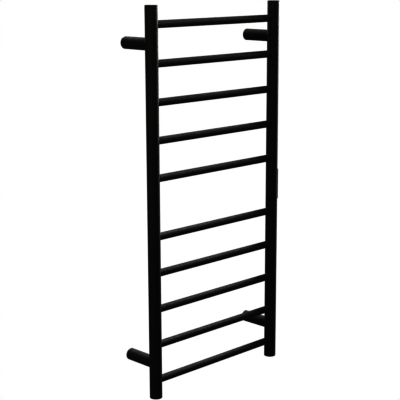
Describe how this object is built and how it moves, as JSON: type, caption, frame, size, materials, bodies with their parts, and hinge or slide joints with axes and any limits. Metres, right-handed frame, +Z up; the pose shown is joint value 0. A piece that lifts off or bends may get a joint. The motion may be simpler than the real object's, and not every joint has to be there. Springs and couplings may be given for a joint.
{
  "type": "ladder towel warmer",
  "caption": "Wall-hung ladder towel warmer: black round uprights and bars on stand-offs, with a push-button control module in the side of one upright.",
  "frame": {"origin": "on the wall plane, midway between the four wall bases", "axes": "+X along the bars, to the right for someone facing the ladder; +Y into the wall; +Z up"},
  "size_m": [0.4745, 0.113, 1],
  "materials": {
    "powder_coat": "matte black powder coat on steel tube",
    "black_steel": "black zinc plated steel",
    "zinc_steel": "bright zinc plated steel",
    "brass": "plain brass",
    "gloss_plastic": "satin black moulded plastic",
    "button_plastic": "soft matte black plastic",
    "housing_plastic": "black flame-retardant plastic",
    "light_plastic": "natural heat-resistant plastic",
    "clear_plastic": "clear red light pipe",
    "rubber": "black rubber",
    "silicone": "red-brown silicone cable sheath",
    "grey_cable": "grey cable sheath",
    "earth_cable": "green and yellow insulation",
    "circuit_board": "green circuit board"
  },
  "bodies": {
    "ladder": {"left_upright": "powder_coat", "left_top_cap": "powder_coat", "left_bottom_cap": "powder_coat", "right_upright": "powder_coat", "right_top_cap": "powder_coat", "right_bottom_cap": "powder_coat", "bar_01": "powder_coat", "bar_02": "powder_coat", "bar_03": "powder_coat", "bar_04": "powder_coat", "bar_05": "powder_coat", "bar_06": "powder_coat", "bar_07": "powder_coat", "bar_08": "powder_coat", "bar_09": "powder_coat", "bar_10": "powder_coat", "top_left_standoff": "powder_coat", "top_left_wall_base": "black_steel", "top_left_grub_screw": "black_steel", "top_right_standoff": "powder_coat", "top_right_wall_base": "black_steel", "top_right_grub_screw": "black_steel", "bottom_left_standoff": "powder_coat", "bottom_left_wall_base": "black_steel", "bottom_left_grub_screw": "black_steel", "bottom_right_standoff": "powder_coat", "bottom_right_wall_base": "black_steel", "bottom_right_grub_screw": "black_steel", "heating_cable": "silicone", "heating_cable_seal": "silicone", "terminal_block": "light_plastic", "inner_supply_lead": "grey_cable", "cable_gland": "rubber", "control_harness": "grey_cable", "thermal_cutout": "housing_plastic", "earth_lead": "earth_cable", "earth_tag": "brass", "earth_screw": "zinc_steel", "control_fascia": "gloss_plastic", "control_gasket": "rubber", "control_housing": "housing_plastic", "circuit_board": "circuit_board", "upper_fascia_screw": "black_steel", "lower_fascia_screw": "black_steel", "power_switch": "light_plastic", "timer_switch": "light_plastic", "heat_switch": "light_plastic", "power_light": "clear_plastic", "heat_light_low": "clear_plastic", "heat_light_mid": "clear_plastic", "heat_light_high": "clear_plastic"},
    "power_button": {"power_button": "button_plastic"},
    "timer_button": {"timer_button": "button_plastic"},
    "heat_button": {"heat_button": "button_plastic"}
  },
  "joints": [
    {"name": "power_press", "type": "slide", "parent": "ladder", "child": "power_button", "axis": [-1, 0, 0], "range_m": [0, 0.0006], "stiffness_N_per_m": 400},
    {"name": "timer_press", "type": "slide", "parent": "ladder", "child": "timer_button", "axis": [-1, 0, 0], "range_m": [0, 0.0006], "stiffness_N_per_m": 400},
    {"name": "heat_press", "type": "slide", "parent": "ladder", "child": "heat_button", "axis": [-1, 0, 0], "range_m": [0, 0.0006], "stiffness_N_per_m": 400}
  ]
}
